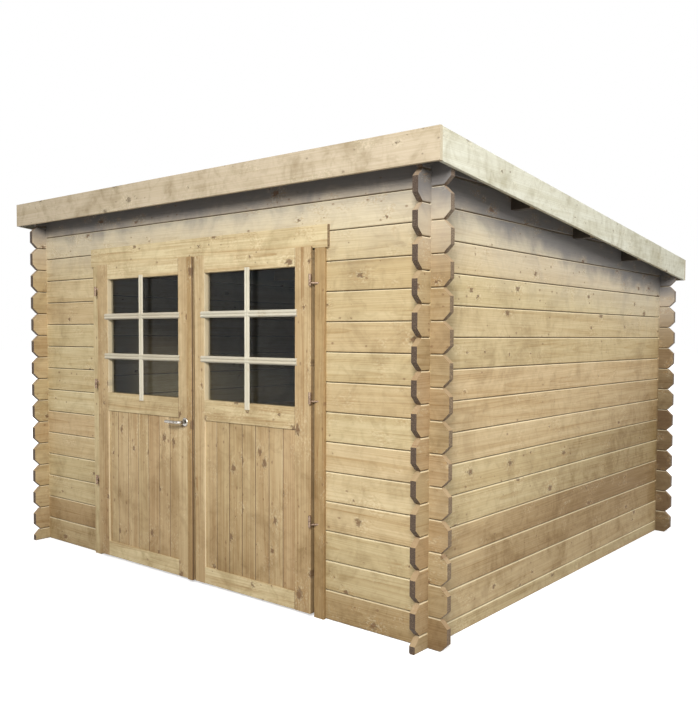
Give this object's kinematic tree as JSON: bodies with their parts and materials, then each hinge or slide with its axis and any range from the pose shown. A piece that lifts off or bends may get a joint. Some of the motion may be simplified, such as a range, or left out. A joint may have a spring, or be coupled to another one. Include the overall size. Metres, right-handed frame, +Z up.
{
  "type": "garden shed",
  "caption": "Garden shed of notched softwood boards with crossed corners, a low single-slope roof and a part-glazed double door.",
  "frame": {"origin": "middle of the roof plan, at ground level", "axes": "+X right along the door wall, +Y from the door wall to the back, +Z up"},
  "size_m": [3.14, 2.96, 2.097],
  "materials": {
    "wall_wood": "pressure-treated planed softwood",
    "door_wood": "pressure-treated planed softwood",
    "fascia_wood": "pressure-treated planed softwood",
    "roof_wood": "planed softwood",
    "roof_felt": "mineral roof felt",
    "glass": "clear",
    "hinge_steel": "zinc plated",
    "handle_steel": "satin"
  },
  "bodies": {
    "root": {"door_head": "door_wood", "door_jamb_left": "door_wood", "door_jamb_right": "door_wood", "door_stop_head": "door_wood", "door_stop_left": "door_wood", "door_stop_right": "door_wood", "fascia_front": "fascia_wood", "fascia_left": "fascia_wood", "fascia_rear": "fascia_wood", "fascia_right": "fascia_wood", "front_wall_left": "wall_wood", "front_wall_right": "wall_wood", "front_wall_top": "wall_wood", "left_frame_hinges": "hinge_steel", "left_wall": "wall_wood", "purlin_front": "roof_wood", "purlin_middle": "roof_wood", "purlin_rear": "roof_wood", "rear_wall": "wall_wood", "right_frame_hinges": "hinge_steel", "right_wall": "wall_wood", "roof_deck": "roof_wood", "roof_felt": "roof_felt"},
    "left_door": {"left_door_bottom_rail": "door_wood", "left_door_cover_strip": "door_wood", "left_door_glass": "glass", "left_door_hinge_stile": "door_wood", "left_door_hinges": "hinge_steel", "left_door_lock_stile": "door_wood", "left_door_middle_rail": "door_wood", "left_door_panel": "door_wood", "left_door_top_rail": "door_wood", "handle_roses": "handle_steel"},
    "right_door": {"right_door_bottom_rail": "door_wood", "right_door_glass": "glass", "right_door_hinge_stile": "door_wood", "right_door_hinges": "hinge_steel", "right_door_lock_stile": "door_wood", "right_door_middle_rail": "door_wood", "right_door_panel": "door_wood", "right_door_top_rail": "door_wood"},
    "handle": {"handle_spindle": "handle_steel", "handle_lever_outer": "handle_steel", "handle_lever_inner": "handle_steel"}
  },
  "joints": [
    {"name": "left_door_swing", "type": "hinge", "parent": "root", "child": "left_door", "pos_m": [-0.835, -1.407, 0.9], "axis": [0, 0, -1], "range_deg": [0, 105]},
    {"name": "right_door_swing", "type": "hinge", "parent": "root", "child": "right_door", "pos_m": [0.835, -1.407, 0.9], "axis": [0, 0, 1], "range_deg": [0, 105]},
    {"name": "handle_turn", "type": "hinge", "parent": "left_door", "child": "handle", "pos_m": [-0.046, -1.377, 0.837], "axis": [0, -1, 0], "range_deg": [0, 40], "stiffness_Nm_per_rad": 1.5, "springref_deg": -17.19}
  ]
}
